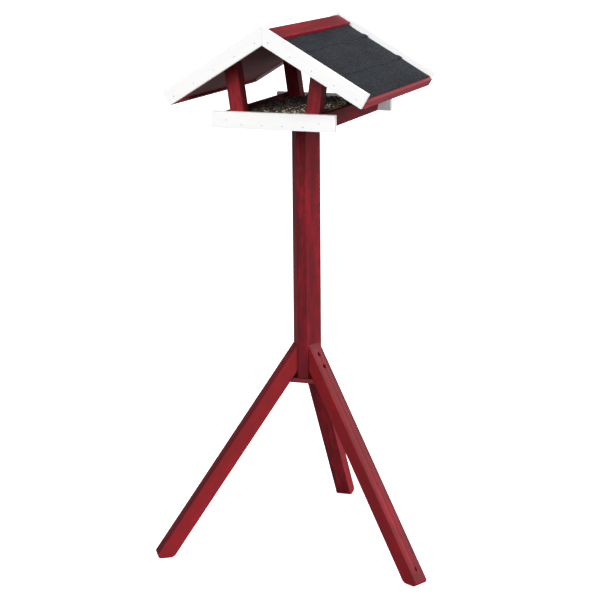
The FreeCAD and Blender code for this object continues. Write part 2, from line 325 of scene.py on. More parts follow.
# %% Graphs
class Graph:
    """A tree of nodes, and the tools that add nodes to it."""

    def __init__(self, tree):
        self.tree = tree

    def node(self, kind, settings=None, inputs=None):
        made = self.tree.nodes.new(kind)
        for setting, value in (settings or {}).items():
            setattr(made, setting, value)
        for key, value in (inputs or {}).items():
            self.fill(made.inputs[key], value)
        return made

    def fill(self, socket, value):
        if isinstance(value, Number):
            value = value.socket
        if isinstance(value, bpy.types.NodeSocket):
            self.tree.links.new(value, socket)
        else:
            socket.default_value = value

    def attribute(self, name):
        """What a mesh has stored for each of its points, as a vector and as a number."""
        made = self.node("ShaderNodeAttribute", {"attribute_name": name})
        return made.outputs["Vector"], Number(self, made.outputs["Fac"])

    def place(self):
        """Where a point lies on the whole table."""
        return self.node("ShaderNodeTexCoord").outputs["Object"]

    def stretched(self, vector, scale):
        settings = {"operation": "MULTIPLY"}
        return self.node("ShaderNodeVectorMath", settings, {0: vector, 1: scale}).outputs[0]

    def parts(self, vector):
        made = self.node("ShaderNodeSeparateXYZ", None, {0: vector})
        return [Number(self, socket) for socket in made.outputs]

    def noise(self, vector, scale, detail=2.0, roughness=0.5):
        inputs = {"Vector": vector, "Scale": scale, "Detail": detail, "Roughness": roughness}
        return Number(self, self.node("ShaderNodeTexNoise", None, inputs).outputs["Fac"])

    def cells(self, vector, scale):
        """The distance to the nearest cell's middle, and a colour drawn by lot for each cell."""
        made = self.node("ShaderNodeTexVoronoi", None, {"Vector": vector, "Scale": scale})
        return Number(self, made.outputs["Distance"]), made.outputs["Color"]

    def mix(self, amount, first, second):
        """From the first colour to the second as the amount goes from 0 to 1."""
        settings = {"data_type": "RGBA"}
        return self.node("ShaderNodeMix", settings, {0: amount, 6: first, 7: second}).outputs[2]


print("A graph takes any node")

# %% [markdown]
# ## One finish
#
# Finish is the graph of one material and knows its shader, so a look can be set in one line.
# Colours are written from 0 to 255, as a screen shows them, and paint turns them into the
# amounts of light that a shader works with, which run from 0 to 1 and aren't even steps.

# %% Finishes
class Finish(Graph):
    """The graph of one material."""

    def __init__(self, name):
        self.material = bpy.data.materials.new(name)
        self.material.use_nodes = True
        super().__init__(self.material.node_tree)
        self.shader = self.tree.nodes["Principled BSDF"]

    def set(self, **inputs):
        """Fills the shader's own sockets, with spaces for the low lines in their names."""
        for key, value in inputs.items():
            self.fill(self.shader.inputs[key.replace("_", " ")], value)

    def bump(self, height, depth, strength=1.0):
        inputs = {"Height": height, "Distance": depth, "Strength": strength}
        self.set(Normal=self.node("ShaderNodeBump", None, inputs).outputs[0])


def paint(red, green, blue):
    """A colour as a screen shows it, from 0 to 255, turned into the amount of light."""
    def light(part):
        part = part / 255
        return part / 12.92 if part <= 0.04045 else ((part + 0.055) / 1.055) ** 2.4
    return (light(red), light(green), light(blue), 1.0)


print("Materials are written as sums")

# %% [markdown]
# ## Red glaze on pine
#
# Glaze is a thin, tinted coat. The early wood drinks more of it than the hard late wood, so
# the growth rings show through as darker and lighter lines, with fine fibres between them.
# The rings are circles round the tree's middle, bent a little by slow noise, and the fibres
# are noise that is stretched along the grain. Blotches show where the brush left more, and the
# corners of each board are a touch lighter. A board's third value makes the whole board paler
# and pinker above 0 and darker below 0, which is painted sheen on some pieces and painted
# shade on others. A glaze on sawn wood has little gloss, so its specular level is low.

# %% The red glaze
ring_spacing = 0.0062


def wood_lines(finish, grain):
    """The rings, the fibres and the slow patches of a board's wood."""
    bend = finish.noise(finish.stretched(grain, (2.5, 22.0, 22.0)), 1.0, 2.0)
    along, across, through = finish.parts(grain)
    distance = (across * across + through * through) ** 0.5 + along * 0.006 + bend * 0.022
    rings = (distance * (2 * math.pi / ring_spacing)).wave() ** 1.6
    fibres = finish.noise(finish.stretched(grain, (16.0, 640.0, 640.0)), 1.0, 3.0, 0.6)
    patches = finish.noise(finish.stretched(grain, (5.0, 38.0, 38.0)), 1.0, 3.0)
    return rings, fibres, patches


def red_glaze():
    finish = Finish("red_glaze")
    grain, _ = finish.attribute("grain")
    _, arris = finish.attribute("arris")
    _, tone_and_painted_light = finish.attribute("tone_and_painted_light")
    rings, fibres, patches = wood_lines(finish, grain)
    blotches = finish.noise(finish.stretched(grain, (30.0, 105.0, 105.0)), 1.0, 3.0, 0.65)
    tone = finish.mix(patches.above(0.34, 0.66), paint(98, 13, 24), paint(150, 20, 34))
    tone = finish.mix(blotches.above(0.44, 0.57) * 0.7, tone, paint(92, 20, 26))
    tone = finish.mix(rings * 0.3, tone, paint(96, 15, 25))
    tone = finish.mix(fibres.above(0.52, 0.78) * 0.5, tone, paint(66, 12, 20))
    # Painted sheen: above 0 the board's third value mixes in a pale pink.
    tone = finish.mix(tone_and_painted_light, tone, paint(214, 104, 112))
    # Painted shade: below 0 it mixes in a dark red.
    tone = finish.mix(tone_and_painted_light * -1, tone, paint(48, 10, 18))
    tone = finish.mix(arris.above(0.05, 0.3) * 0.35, tone, paint(166, 40, 44))
    finish.set(Base_Color=tone, Roughness=fibres * 0.2 + 0.46, Specular_IOR_Level=0.18)
    finish.bump(rings * 0.35 + fibres, 0.00025, 0.8)
    return finish.material


glaze = red_glaze()
print("Made", glaze.name, "with", len(glaze.node_tree.nodes), "nodes")

# %% [markdown]
# ## White paint on wood
#
# The gable boards and the tray's ends are painted with a white that covers the wood. The
# grain only shows as faint raised lines, and the corners are a little greyer where the paint
# is thin. One plain white would look like plastic, so the same rings and fibres as under the
# glaze are used, and here most of what they do is bump.

# %% The white paint
def white_paint():
    finish = Finish("white_paint")
    grain, _ = finish.attribute("grain")
    _, arris = finish.attribute("arris")
    rings, fibres, patches = wood_lines(finish, grain)
    tone = finish.mix(patches.above(0.3, 0.75), paint(249, 249, 249), paint(252, 252, 251))
    tone = finish.mix(rings * 0.12, tone, paint(236, 237, 238))
    tone = finish.mix(arris.above(0.08, 0.3) * 0.3, tone, paint(214, 213, 210))
    finish.set(Base_Color=tone, Roughness=fibres * 0.15 + 0.36)
    finish.bump(rings * 0.6 + fibres * 0.7, 0.0002, 0.6)
    return finish.material


white = white_paint()
print("Made", white.name)

# %% [markdown]
# ## Mineral felt
#
# Roofing felt is tarred card with slate chippings pressed into it. Each chipping is one to
# two millimetres across and has its own grey, so the colour comes from the random colour of
# the cells in a Voronoi pattern, and their height gives the bump. Noise alone would look like
# smoke. Slow noise adds the lighter and darker clouds that the rolls have.

# %% The felt
cells_in_a_metre = 560.0


def slate_felt():
    finish = Finish("slate_felt")
    place = finish.place()
    height, lot = finish.cells(place, cells_in_a_metre)
    first_lot, second_lot, _ = finish.parts(lot)
    clouds = finish.noise(finish.stretched(place, (14.0, 8.0, 14.0)), 1.0, 4.0, 0.6)
    tone = finish.mix(clouds.above(0.3, 0.7), paint(14, 16, 21), paint(29, 32, 39))
    tone = finish.mix(first_lot.above(0.6, 1.0) * 0.7, tone, paint(72, 78, 88))
    tone = finish.mix(second_lot.above(0.45, 1.0) * 0.85, tone, paint(7, 8, 11))
    finish.set(Base_Color=tone, Roughness=first_lot * 0.15 + 0.8, Specular_IOR_Level=0.2)
    finish.bump(1 - height, 0.0005, 0.9)
    return finish.material


felt_finish = slate_felt()
print("Made", felt_finish.name)

# %% [markdown]
# ## Zinc
#
# The screws are zinc that has gone dull and cloudy, a rough metal with darker clouds, and its
# colour is made darker than such zinc as painted shade on the screws deep in the legs' holes.
# The heads of the nails were brushed over with the boards, so most of them is white, and the
# zinc only shows where the paint has worn off.

# %% The zinc
def shaded_dull_zinc():
    finish = Finish("shaded_dull_zinc")
    clouds = finish.noise(finish.place(), 420.0, 3.0, 0.6)
    # Painted shade: these greys are darker than dull zinc.
    tone = finish.mix(clouds.above(0.35, 0.7), paint(70, 71, 73), paint(104, 105, 107))
    finish.set(Base_Color=tone, Metallic=1.0, Roughness=clouds * 0.3 + 0.45)
    finish.bump(clouds, 0.0001, 0.5)
    return finish.material


def painted_zinc():
    finish = Finish("painted_zinc")
    worn = finish.noise(finish.place(), 900.0, 3.0, 0.6).above(0.45, 0.65)
    tone = finish.mix(worn, paint(222, 223, 224), paint(160, 162, 164))
    finish.set(Base_Color=tone, Metallic=worn * 0.5, Roughness=worn * 0.1 + 0.4)
    return finish.material


zinc = shaded_dull_zinc()
painted = painted_zinc()
print("Made", zinc.name, "and", painted.name)

# %% [markdown]
# ## Placing a finished piece
#
# Each finished piece stands for a node of the imported model, which is then hidden. It rides
# on the table's one body and takes the material that it is given.

# %% Handing a piece over
def hand_over(piece, material, slot, *stands_for):
    piece.data.materials.clear()
    piece.data.materials.append(material)
    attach(piece, "root")
    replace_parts(piece, *stands_for)
    return piece


made = []
print("Ready to build")

# %% [markdown]
# ## Boards that follow the roof
#
# The gable boards, the roof panels, the ridge cap and the eave strips all lie on one of the
# two slopes. A point on a slope is given by its way down from the ridge and its depth below
# the top of the gable boards. The roof sits a little askew, its left side lower, so the two
# slopes differ by twice the tilt. Where a board reaches the ridge it is sawn off in the middle
# of the roof, which makes the mitre.

# %% Places on the slope
def side_slope(side):
    return slope - side * tilt


def down_slope(side):
    return Vector((side * math.cos(side_slope(side)), 0, -math.sin(side_slope(side))))


def off_slope(side):
    return Vector((side * math.sin(side_slope(side)), 0, math.cos(side_slope(side))))


def on_slope(along, below, side, y):
    ridge = Vector((ridge_offset, y, ridge_height))
    return ridge + down_slope(side) * along - off_slope(side) * below


def slope_board(name, side, along, below, across):
    """A board between two places along the slope, two depths below its top and two in Y."""
    (start, end), (top, bottom), (front, back) = along, below, across
    middle = on_slope((start + end) / 2, (top + bottom) / 2, side, (front + back) / 2)
    size = (end - start, abs(back - front), bottom - top)
    return block(name, middle, size, side * side_slope(side))


def mitre(piece, side):
    """Saws a board off in the middle of the roof."""
    middle = Vector((math.cos(tilt), 0, math.sin(tilt)))
    saw(piece, (ridge_offset, 0, ridge_height), middle * -side)


print("The left slope falls", round(math.degrees(side_slope(-1)), 1), "degrees and the right one",
      round(math.degrees(side_slope(1)), 1))

# %% [markdown]
# ## Gable boards
#
# White boards stand on edge along both gables and hide the ends of the panels and the felt.
# They start a little past the ridge, so that the mitre cuts their ends.

# %% The gable boards
for face_name, face in faces.items():
    for side_name, side in sides.items():
        name = "barge_board_" + face_name + "_" + side_name
        board = slope_board(name + "_painted", side, (-barge_height, slope_length),
                            (0, barge_height), (face * barge_inner, face * half_depth))
        mitre(board, side)
        soften(board, 1.2 * mm)
        lay_grain(board, down_slope(side), off_slope(side))
        made.append(hand_over(board, white, "white_paint", name))
print("Four gable boards,", round(slope_length, 3), "m long")

# %% [markdown]
# ## Panels, ridge cap and eave strips
#
# A wide red board carries the felt on each side. Two narrow boards over the top edge of the
# felt make the ridge cap, and a strip closes the lower edge of each panel. They lie between
# the gable boards, so one pair of places in Y serves them all.

# %% The panels, the ridge cap and the eave strips
between_gables = (-barge_inner, barge_inner)
cap_bottom = panel_top - felt_thickness
for side_name, side in sides.items():
    panel = slope_board("roof_panel_" + side_name + "_glazed", side,
                        (-barge_height, strip_inner), (panel_top, panel_bottom), between_gables)
    mitre(panel, side)
    soften(panel, 0.4 * mm, 2)
    lay_grain(panel, (0, 1, 0), down_slope(side))
    made.append(hand_over(panel, glaze, "red_glaze", "roof_panel_" + side_name))
    cap = slope_board("ridge_cap_" + side_name + "_glazed", side, (-barge_height, cap_width),
                      (cap_bottom - cap_thickness, cap_bottom), between_gables)
    mitre(cap, side)
    soften(cap, 1.0 * mm)
    # Painted light: the ridge cap is made a touch paler.
    lay_grain(cap, (0, 1, 0), down_slope(side), tone_and_painted_light=0.03)
    made.append(hand_over(cap, glaze, "red_glaze", "ridge_cap_" + side_name))
    strip = slope_board("eave_strip_" + side_name + "_glazed", side, (strip_inner, strip_outer),
                        (panel_top, panel_top + strip_height), between_gables)
    soften(strip, 1.2 * mm)
    # Painted sheen: the eave strips are made paler and pinker.
    lay_grain(strip, (0, 1, 0), off_slope(side), tone_and_painted_light=0.25)
    made.append(hand_over(strip, glaze, "red_glaze", "eave_strip_" + side_name))
print("Two panels, two halves of the ridge cap and two eave strips")

# %% [markdown]
# ## The uprights
#
# Four square uprights lean outwards by eight degrees. Each stands on the tray's floor and
# carries a roof panel. It starts as a block that is too long at both ends, and is then sawn
# off along the floor and along the underside of the roof, so that it meets both.

# %% Uprights
rough_size = 0.3


def leaning_x(z):
    """The inner face of the tray's sides, which is also the outer face of the uprights."""
    return tray_half_width + (z - tray_rim) * math.tan(lean)


def upright(name, side, face):
    middle_height = 1020.0 * mm
    x = side * (leaning_x(middle_height) - upright_size / 2 / math.cos(lean))
    y = face * (tray_inner - upright_size / 2)
    size = (upright_size, upright_size, rough_size)
    piece = block(name, (x, y, middle_height), size, side * lean)
    saw(piece, (0, 0, floor_top), (0, 0, -1))
    saw(piece, on_slope(0, panel_bottom, side, 0), off_slope(side))
    soften(piece, 1.2 * mm)
    up = (side * math.sin(lean), 0, math.cos(lean))
    # Painted light: the front uprights are a touch paler than the back ones.
    lay_grain(piece, up, (0, 1, 0), tone_and_painted_light=0.04 if face < 0 else 0.0)
    return piece


for face_name, face in faces.items():
    for side_name, side in sides.items():
        name = "upright_" + face_name + "_" + side_name
        piece = upright(name + "_glazed", side, face)
        made.append(hand_over(piece, glaze, "red_glaze", name))
print("Four uprights")

# %% [markdown]
# ## The tray
#
# The tray's red side boards lean with the uprights and are sawn level along their edges. The
# white boards at the front and back are longer than the tray is wide, and the floor is sawn
# at both sides to the slant of the side boards.

# %% The sides, ends and floor of the tray
board_middle = (tray_rim + tray_bottom) / 2
side_x = leaning_x(board_middle) + side_thickness / 2 / math.cos(lean)
for side_name, side in sides.items():
    size = (side_thickness, 2 * tray_inner, tray_rim - tray_bottom + side_thickness)
    middle = (side * side_x, 0, board_middle)
    board = block("tray_side_" + side_name + "_glazed", middle, size, side * lean)
    saw(board, (0, 0, tray_bottom), (0, 0, -1))
    saw(board, (0, 0, tray_rim), (0, 0, 1))
    soften(board, 1.0 * mm)
    # Painted shade: the tray's sides are darker, for the eave's shadow and the shade inside the tray.
    lay_grain(board, (0, 1, 0), (0, 0, 1), tone_and_painted_light=-0.45)
    made.append(hand_over(board, glaze, "red_glaze", "tray_side_" + side_name))

thickness = half_tray - tray_inner
for face_name, face in faces.items():
    middle = (0, face * (half_tray - thickness / 2), board_middle)
    size = (2 * half_board, thickness, tray_rim - tray_bottom)
    board = block("tray_board_" + face_name + "_painted", middle, size)
    soften(board, 1.2 * mm)
    lay_grain(board, (1, 0, 0), (0, 0, 1))
    made.append(hand_over(board, white, "white_paint", "tray_board_" + face_name))

floor_middle = (floor_top + floor_bottom) / 2
base = block("tray_floor_glazed", (0, 0, floor_middle),
             (rough_size, 2 * tray_inner, floor_top - floor_bottom))
for side in sides.values():
    outward = (side * math.cos(lean), 0, -math.sin(lean))
    saw(base, (side * leaning_x(floor_top), 0, floor_top), outward)
soften(base, 0.4 * mm, 2)
lay_grain(base, (0, 1, 0), (1, 0, 0))
made.append(hand_over(base, glaze, "red_glaze", "tray_floor"))
print("The tray is", round(2 * half_tray, 3), "m from front to back")

# %% [markdown]
# ## The post
#
# The post is a triangle in section with its corners planed off, so it has three wide faces
# for the legs and three narrow ones between them. A bar with three corners gives the
# triangle, and Bevel on its upright edges planes the corners off, which says more plainly how
# the real one is made than six points would.

# %% The post
def edit_edges(piece, wanted):
    """Goes into edit mode with only the wanted edges selected."""
    only(piece)
    bpy.ops.object.mode_set(mode="EDIT")
    bpy.ops.mesh.select_mode(type="EDGE")
    bpy.ops.mesh.select_all(action="DESELECT")
    bpy.ops.object.mode_set(mode="OBJECT")
    points = piece.data.vertices
    for edge in piece.data.edges:
        first, second = (points[index].co for index in edge.vertices)
        edge.select = wanted(first, second)
    bpy.ops.object.mode_set(mode="EDIT")


def round_edges(piece, wanted, start, steps, profile=0.5):
    """Bevels the wanted edges, each from a distance beside it.

    A profile of 0.25 is flat, and 0.5 is round on a square corner.
    """
    edit_edges(piece, wanted)
    bpy.ops.mesh.bevel(offset=start, segments=steps, profile=profile)
    bpy.ops.object.mode_set(mode="OBJECT")


def upright_edge(first, second):
    return abs(first.x - second.x) + abs(first.y - second.y) < 0.1 * mm


post = bar("post_glazed", 3, 2 * post_face, post_head - post_foot,
           (0, 0, (post_head + post_foot) / 2), (0, 0, math.radians(60.0) + stand_turn))
round_edges(post, upright_edge, narrow_face, steps=1)
soften(post, 1.5 * mm)
lay_grain(post, (0, 0, 1), (1, 0, 0), tone_and_painted_light=-0.27)
made.append(hand_over(post, glaze, "red_glaze", "post"))
print("The post reaches from", round(post_foot, 3), "to", round(post_head, 3), "m")

# %% [markdown]
# ## The plates
#
# A square plate with its corners cut lies between the post and the tray, out of sight from
# above. A smaller one lies under the post. Its edges are sawn to the slant of the legs where
# it meets them, and at about half that slant between them. The corners of its outline could
# be worked out, but six cuts of the saw say where each edge comes from.

# %% The plates
head_plate_size = 100.0 * mm
head_plate_corner = 12.0 * mm
foot_plate_thickness = 9.0 * mm
rough_plate = 0.2


def outward_of(direction):
    """The level way from the post to the outside, at a leg's direction in degrees."""
    turn = math.radians(direction) + stand_turn
    return Vector((math.cos(turn), math.sin(turn), 0))


head = block("head_plate_glazed", (0, 0, (post_head + floor_bottom) / 2),
             (head_plate_size, head_plate_size, floor_bottom - post_head))
round_edges(head, upright_edge, head_plate_corner, steps=1)
soften(head, 0.8 * mm, 2)
lay_grain(head, (1, 0, 0), (0, 1, 0))
made.append(hand_over(head, glaze, "red_glaze", "head_plate"))

plate_bottom = post_foot - foot_plate_thickness
foot = block("foot_plate_glazed", (0, 0, (post_foot + plate_bottom) / 2),
             (rough_plate, rough_plate, post_foot - plate_bottom))
reach = post_face + (leg_top - post_foot) * math.tan(splay) - leg_size / math.cos(splay)
corner = reach / 2 + leg_size * math.sqrt(3) / 4
plate_top = Vector((0, 0, post_foot))
for direction in leg_directions.values():
    outward = outward_of(direction)
    saw(foot, outward * reach + plate_top, outward + Vector((0, 0, math.tan(splay))))
    saw(foot, plate_top - outward * corner, Vector((0, 0, math.tan(splay) / 2)) - outward)
soften(foot, 0.6 * mm, 2)
# Painted shade: the foot plate is darker, for the shade of the post and the legs.
lay_grain(foot, (1, 0, 0), (0, 1, 0), tone_and_painted_light=-0.5)
made.append(hand_over(foot, glaze, "red_glaze", "foot_plate"))
print("Two plates")

# %% [markdown]
# ## Where a leg lies
#
# Each leg is a square bar that leans out by 35 degrees. Its top is sawn upright to lie on the
# post and its foot is sawn level, and the toe and the heel are rounded. It is made in the
# plane of X and Z, with the post on its left, and turned into place at the end. An edge to be
# rounded is found by where it lies.

# %% A leg's places
screw_heights = [441.3 * mm, 417.5 * mm]
seat = post_face + 8.0 * mm
toe = post_face + leg_top * math.tan(splay)
heel = toe - leg_size / math.cos(splay)
peg_circle = post_face + (leg_top - 32.4 * mm) * math.tan(splay)
leg_way = Vector((math.sin(splay), 0, -math.cos(splay)))


def at(x, z):
    """A test for the edge across the leg at a place."""
    def wanted(first, second):
        there = Vector((x, 0, z))
        flat = [Vector((point.x, 0, point.z)) for point in (first, second)]
        return all((point - there).length < 0.5 * mm for point in flat)
    return wanted


def along_leg(first, second):
    """A test for the four long edges of the leg."""
    way = second - first
    return way.length > 0.3 and abs(way.normalized().dot(leg_way)) > 0.999


print("The toes are", round(toe, 3), "m from the middle")

# %% [markdown]
# ## The legs
#
# Two level holes are bored through the top of each leg, wide for the screw's head and narrow
# for its shank, and an upright hole through the foot takes a ground peg. A hole is cut with a
# bar and Boolean, because it is the one cut in a leg that isn't flat. The radius of the toe and
# heel is turned into how far a bevel starts from the corner, by half the corner's angle.

# %% Boring and cutting the legs
toe_radius = 7.0 * mm
toe_half_angle = (math.pi / 2 - splay) / 2
heel_radius = 18.0 * mm
heel_half_angle = (math.pi / 2 + splay) / 2
screw_hole_radius = 2.5 * mm
screw_head_hole_radius = 4.2 * mm
peg_hole_radius = 3.5 * mm
before_leg = post_face - 5.0 * mm
below_leg = -20.0 * mm
beyond_leg = 0.2
# How much darker each leg is made all over, the left one most.
leg_darkening = {"right": -0.32, "back": -0.1, "left": -0.42}


def bore(piece, start, end, radius):
    """Drills a round hole from one place to another."""
    start, end = Vector(start), Vector(end)
    way = end - start
    turn = way.to_track_quat("Z", "Y").to_euler()
    drill = bar("drill", 24, radius, way.length, (start + end) / 2, turn)
    finish_with(piece, "BOOLEAN", operation="DIFFERENCE", object=drill, solver="EXACT")
    bpy.data.objects.remove(drill)


def leg(name, direction, tone_and_painted_light):
    middle_height = leg_top / 2
    half_width = leg_size / 2 / math.cos(splay)
    x = post_face + (leg_top - middle_height) * math.tan(splay) - half_width
    size = (leg_size, leg_size, leg_top / math.cos(splay) + 0.1)
    piece = block(name, (x, 0, middle_height), size, -splay)
    saw(piece, (post_face, 0, 0), (-1, 0, 0))
    saw(piece, (0, 0, 0), (0, 0, -1))
    round_edges(piece, at(toe, 0), toe_radius / math.tan(toe_half_angle), steps=6, profile=0.43)
    round_edges(piece, at(heel, 0), heel_radius / math.tan(heel_half_angle), steps=6, profile=0.54)
    round_edges(piece, along_leg, 2.0 * mm, steps=3)
    for height in screw_heights:
        bore(piece, (before_leg, 0, height), (seat, 0, height), screw_hole_radius)
        bore(piece, (seat, 0, height), (beyond_leg, 0, height), screw_head_hole_radius)
    bore(piece, (peg_circle, 0, below_leg), (peg_circle, 0, beyond_leg), peg_hole_radius)
    smooth(piece)
    lay_grain(piece, leg_way, (0, 1, 0), tone_and_painted_light)
    piece.data.transform(Matrix.Rotation(math.radians(direction) + stand_turn, 4, "Z"))
    return piece


for leg_name, direction in leg_directions.items():
    piece = leg("leg_" + leg_name + "_glazed", direction, leg_darkening[leg_name])
    made.append(hand_over(piece, glaze, "red_glaze", "leg_" + leg_name))
print("Three legs")

# %% [markdown]
# ## The felt on the roof
#
# The felt lies in three courses on each slope, and each course laps over the one below it. A
# course could be a thin block, but it would look like sheet metal, so it is a grid with enough
# squares to be bent. Its lower part rises over the next course, most of all at the back, where
# the corners of the laps have curled up, and its lower edge is cut a little unevenly. A slow
# swell lifts it here and there, as felt that has lain in the sun does. Solidify gives it its
# thickness downwards.

# %% Felt courses
lap_width = 16.0 * mm
lap_ramp = 8.0 * mm
curl_start = 150.0 * mm
curl_length = 60.0 * mm
courses = {"upper": (0.8 * mm, 87.0 * mm, True), "middle": (75.0 * mm, 177.0 * mm, True),
           "lower": (165.0 * mm, strip_inner + 2.0 * mm, False)}


def clamped(value):
    """A number held between 0 and 1."""
    return min(1.0, max(0.0, value))


def swell(along, y, side):
    """A slow rise and fall of the felt, always the same for the same place."""
    first = math.sin(along * 41 + side * 1.3) * math.sin(y * 23 + side * 2.1 + along * 9)
    second = math.sin(along * 97 + y * 31 + side) * math.sin(y * 57 - along * 22)
    return 0.45 * first + 0.3 * second


def felt_course(name, side, start, end, laps):
    rows = round((end - start) / (4 * mm))
    half_length = barge_inner - 0.6 * mm
    sheet = primitive(name, bpy.ops.mesh.primitive_grid_add, x_subdivisions=rows,
                      y_subdivisions=44, size=1)
    for point in sheet.data.vertices:
        part = point.co.x + 0.5
        y = point.co.y * 2 * half_length
        along = start + part * (end - start)
        rise = 0.0
        if laps:
            curl = 0.35 + 0.9 * clamped((y - curl_start) / curl_length)
            rise = felt_thickness * curl * clamped((along - (end - lap_width)) / lap_ramp)
            waver = 0.9 * mm * math.sin(y * 37 + end * 60) + 0.5 * mm * math.sin(y * 91)
            along += part ** 6 * waver
        rise += (swell(along, y, side) * 0.5 + 0.3) * mm
        point.co = on_slope(along, panel_top - felt_thickness - rise, side, y)
    if side < 0:
        only(sheet)
        bpy.ops.object.mode_set(mode="EDIT")
        bpy.ops.mesh.select_all(action="SELECT")
        bpy.ops.mesh.flip_normals()
        bpy.ops.object.mode_set(mode="OBJECT")
    finish_with(sheet, "SOLIDIFY", thickness=felt_thickness * 0.35, offset=-1.0)
    smooth(sheet)
    return sheet


for side_name, side in sides.items():
    for course, (start, end, laps) in courses.items():
        name = "felt_" + course + "_" + side_name
        sheet = felt_course(name + "_slated", side, start, end, laps)
        made.append(hand_over(sheet, felt_finish, "felt", name))
print("Six courses of felt")

# %% [markdown]
# ## A nail
#
# The nails have small round heads that sit just proud of the paint. One is modelled on end at
# the origin, with its head up, and later copied to its places.

# %% A nail
nail_radius = 0.9 * mm
nail_length = 24.0 * mm
nail_head_radius = 1.5 * mm
nail_head_height = 0.9 * mm
nail_head_middle = 0.15 * mm


def joined(part, whole):
    """Joins a part to a whole, which keeps its name."""
    only(whole)
    part.select_set(True)
    bpy.ops.object.join()
    return whole


def nail_model():
    head = bar("nail_model", 12, nail_head_radius, nail_head_height, (0, 0, nail_head_middle))
    finish_with(head, "BEVEL", width=0.3 * mm, segments=2, limit_method="ANGLE",
                angle_limit=math.radians(25))
    shank = bar("nail_shank", 8, nail_radius, nail_length, (0, 0, -nail_length / 2))
    return joined(shank, head)


print("A nail is a head on a shank")

# %% [markdown]
# ## A screw
#
# The screws have rounded heads with a cross cut in them, and a thread on all but the top
# quarter of the shank. A true thread is a spiral, but nearly all of it is hidden in the wood,
# so rings stand for it: the shank is cut across at even steps, and every second ring is
# widened.

# %% A screw
head_flatness = 0.68
thread_pitch = 1.1 * mm


def screw_head(name, radius):
    """Half a ball, pressed flatter, with a cross cut in it."""
    head = primitive(name, bpy.ops.mesh.primitive_uv_sphere_add, segments=20, ring_count=12,
                     radius=radius)
    saw(head, (0, 0, 0), (0, 0, -1))
    head.data.transform(Matrix.Diagonal((1, 1, head_flatness, 1)))
    for turn in (0, math.pi / 2):
        cutter = primitive("cross", bpy.ops.mesh.primitive_cube_add, size=1,
                           location=(0, 0, radius * head_flatness), rotation=(0, 0, turn),
                           scale=(radius * 1.15, radius * 0.26, radius * 0.8))
        finish_with(head, "BOOLEAN", operation="DIFFERENCE", object=cutter, solver="EXACT")
        bpy.data.objects.remove(cutter)
    return head


def screw_shank(radius, length):
    """A bar along -Z with rings for its thread, and a taper to its point."""
    rings = 2 * round(length / thread_pitch)
    shank = bar("shank", 12, radius * 0.78, length, (0, 0, -length / 2))
    only(shank)
    bpy.ops.object.mode_set(mode="EDIT")
    for step in range(1, rings):
        bpy.ops.mesh.select_all(action="SELECT")
        bpy.ops.mesh.bisect(plane_co=(0, 0, -length * step / rings), plane_no=(0, 0, 1))
    bpy.ops.object.mode_set(mode="OBJECT")
    for point in shank.data.vertices:
        step = round(-point.co.z / length * rings)
        taper = min(1.0, (length + point.co.z) / (3 * radius) + 0.04)
        ridge = 1.28 if step % 2 and 4 * step > rings else 1.0
        point.co.x *= ridge * taper
        point.co.y *= ridge * taper
    return shank


def screw_model(name, radius, head_radius, length):
    """A screw with its head's seat at the origin and its point along -Z."""
    head = screw_head(name, head_radius)
    piece = joined(screw_shank(radius, length), head)
    smooth(piece)
    return piece


print("A screw is a head with a cross and a shank with rings")

# %% [markdown]
# ## Nails in their places
#
# Five nails run down each gable board, one holds each end of the tray's side boards, and four
# go into the tray's floor at each end. Each copy of the model gets its own mesh, moved to its
# place, and the copies are then joined to one piece for each node.

# %% Nails in their places
nails_down_a_board = 5
first_nail = 29.0 * mm
last_nail = strip_inner - 12.0 * mm
nail_line = 21.5 * mm


def copies(name, model, places, material, node):
    """One piece made of a copy of the model at each place, with its head towards a direction."""
    parts = []
    for place, direction in places:
        part = model.copy()
        part.data = model.data.copy()
        bpy.context.scene.collection.objects.link(part)
        turn = Vector(direction).to_track_quat("Z", "Y").to_matrix().to_4x4()
        spin = Matrix.Rotation(chance.uniform(0, 3), 4, "Z")
        part.data.transform(Matrix.Translation(place) @ turn @ spin)
        parts.append(part)
    only(parts[0])
    for part in parts[1:]:
        part.select_set(True)
    bpy.ops.object.join()
    made.append(hand_over(named(name), material, "zinc", node))


nail = nail_model()
nail_step = (last_nail - first_nail) / (nails_down_a_board - 1)
places = []
for face in faces.values():
    for side in sides.values():
        for count in range(nails_down_a_board):
            along = first_nail + count * nail_step
            places.append((on_slope(along, nail_line, side, face * half_depth), (0, face, 0)))
copies("barge_board_nail_heads", nail, places, painted, "barge_board_nails")
print(len(places), "nails in the gable boards")

places = []
for face in faces.values():
    for side in sides.values():
        places.append((Vector((side * side_x, face * half_tray, board_middle)), (0, face, 0)))
    for x in (-66.0 * mm, -22.0 * mm, 22.0 * mm, 66.0 * mm):
        places.append((Vector((x, face * half_tray, floor_middle)), (0, face, 0)))
copies("tray_nail_heads", nail, places, painted, "tray_nails")
bpy.data.objects.remove(nail)
print(len(places), "nails in the ends of the tray")

# %% [markdown]
# ## Screws in their places
#
# Two screws hold each leg, four hold the head plate to the tray's floor, and the ends of the
# post have one screw below and two above. From above only those in the legs show. Each size
# is modelled once and copied, like the nails.

# %% Screws in their places
plate_screw_ring = 36.0 * mm
end_screw_offset = 10.0 * mm
end_screw_seat = floor_bottom - 2.8 * mm

screw = screw_model("leg_screw_model", radius=2.25 * mm, head_radius=3.8 * mm, length=28.0 * mm)
places = []
for direction in leg_directions.values():
    outward = outward_of(direction)
    for height in screw_heights:
        places.append((outward * seat + Vector((0, 0, height)), outward))
copies("leg_screws_cut", screw, places, zinc, "leg_screws")
bpy.data.objects.remove(screw)

